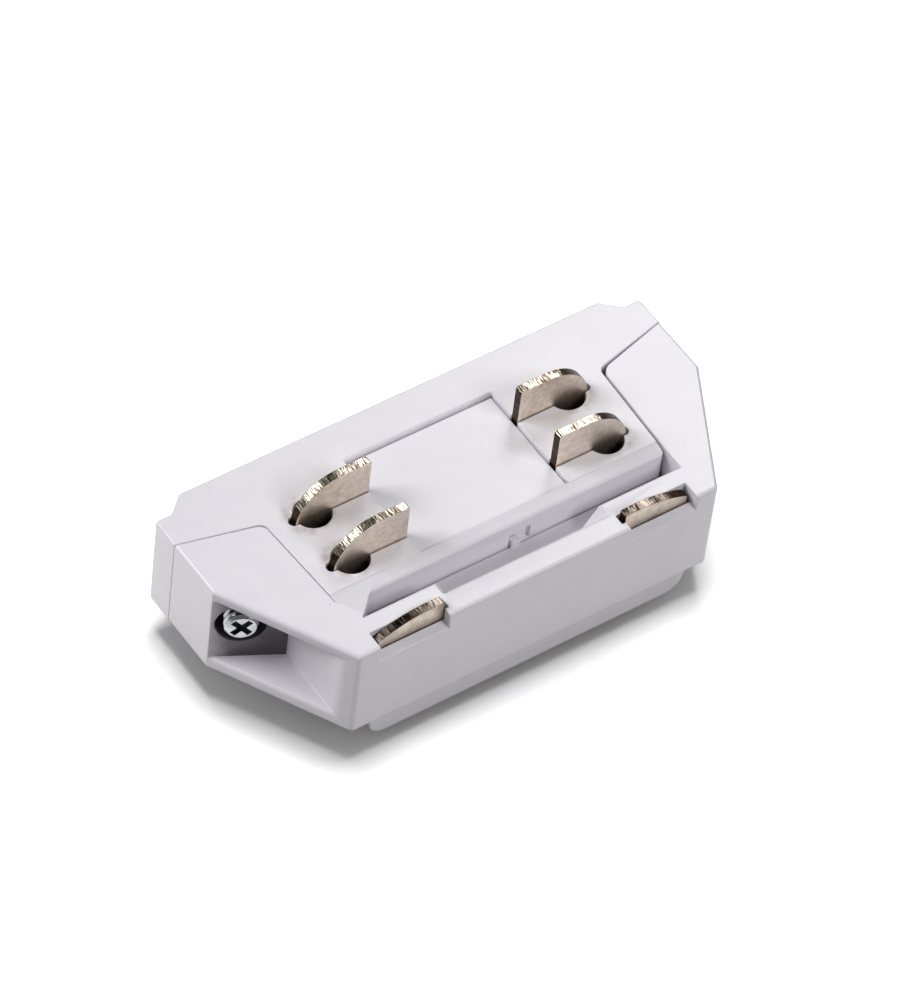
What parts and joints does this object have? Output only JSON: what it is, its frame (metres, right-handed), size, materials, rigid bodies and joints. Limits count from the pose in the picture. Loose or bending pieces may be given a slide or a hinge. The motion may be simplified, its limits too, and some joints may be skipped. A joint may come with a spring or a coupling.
{
  "type": "track light straight connector",
  "caption": "White straight connector that joins two lengths of three-circuit lighting track, with sprung plated contacts and set screws in chamfered ends.",
  "frame": {"origin": "middle of the connector's footprint, level with the tips of the lower line contacts", "axes": "+X along the track, -Y out of the visible front face, +Z out of the upper contact face"},
  "size_m": [0.068, 0.0306, 0.0238],
  "materials": {
    "plastic": "satin moulded white",
    "contact_metal": "nickel plated, sheared edges",
    "spring_steel": "drawn wire",
    "plated_steel": "bright zinc plated"
  },
  "bodies": {
    "housing": {"contact_block": "plastic", "front_shell": "plastic", "top_cover": "plastic", "bottom_cover": "plastic", "key_rail": "plastic", "nut_left": "plated_steel", "nut_right": "plated_steel", "spring_top_back_left": "spring_steel", "spring_top_back_right": "spring_steel", "spring_top_front_left": "spring_steel", "spring_top_front_right": "spring_steel", "spring_bottom_back_left": "spring_steel", "spring_bottom_back_right": "spring_steel", "spring_bottom_front_left": "spring_steel", "spring_bottom_front_right": "spring_steel", "earth_spring_left": "spring_steel", "earth_spring_right": "spring_steel"},
    "line_top_back": {"contact_top_back": "contact_metal"},
    "line_top_front": {"contact_top_front": "contact_metal"},
    "line_bottom_back": {"contact_bottom_back": "contact_metal"},
    "line_bottom_front": {"contact_bottom_front": "contact_metal"},
    "earth": {"earth_contact": "contact_metal"},
    "set_screw_left": {"screw_left": "plated_steel"},
    "set_screw_right": {"screw_right": "plated_steel"}
  },
  "joints": [
    {"name": "press_top_back", "type": "slide", "parent": "housing", "child": "line_top_back", "axis": [0, 0, -1], "range_m": [0, 0.0012], "stiffness_N_per_m": 2000, "springref_m": -0.001, "deforming": ["spring_top_back_left", "spring_top_back_right"]},
    {"name": "press_top_front", "type": "slide", "parent": "housing", "child": "line_top_front", "axis": [0, 0, -1], "range_m": [0, 0.0012], "stiffness_N_per_m": 2000, "springref_m": -0.001, "deforming": ["spring_top_front_left", "spring_top_front_right"]},
    {"name": "press_bottom_back", "type": "slide", "parent": "housing", "child": "line_bottom_back", "axis": [0, 0, 1], "range_m": [0, 0.0012], "stiffness_N_per_m": 2000, "springref_m": -0.001, "deforming": ["spring_bottom_back_left", "spring_bottom_back_right"]},
    {"name": "press_bottom_front", "type": "slide", "parent": "housing", "child": "line_bottom_front", "axis": [0, 0, 1], "range_m": [0, 0.0012], "stiffness_N_per_m": 2000, "springref_m": -0.001, "deforming": ["spring_bottom_front_left", "spring_bottom_front_right"]},
    {"name": "press_earth", "type": "slide", "parent": "housing", "child": "earth", "axis": [0, 0, -1], "range_m": [0, 0.0008], "stiffness_N_per_m": 2000, "springref_m": -0.001, "deforming": ["earth_spring_left", "earth_spring_right"]},
    {"name": "drive_left_screw", "type": "slide", "parent": "housing", "child": "set_screw_left", "axis": [0.4695, 0.8829, 0], "range_m": [-0.0005, 0.003]},
    {"name": "drive_right_screw", "type": "slide", "parent": "housing", "child": "set_screw_right", "axis": [-0.4695, 0.8829, 0], "range_m": [-0.0005, 0.003]}
  ]
}
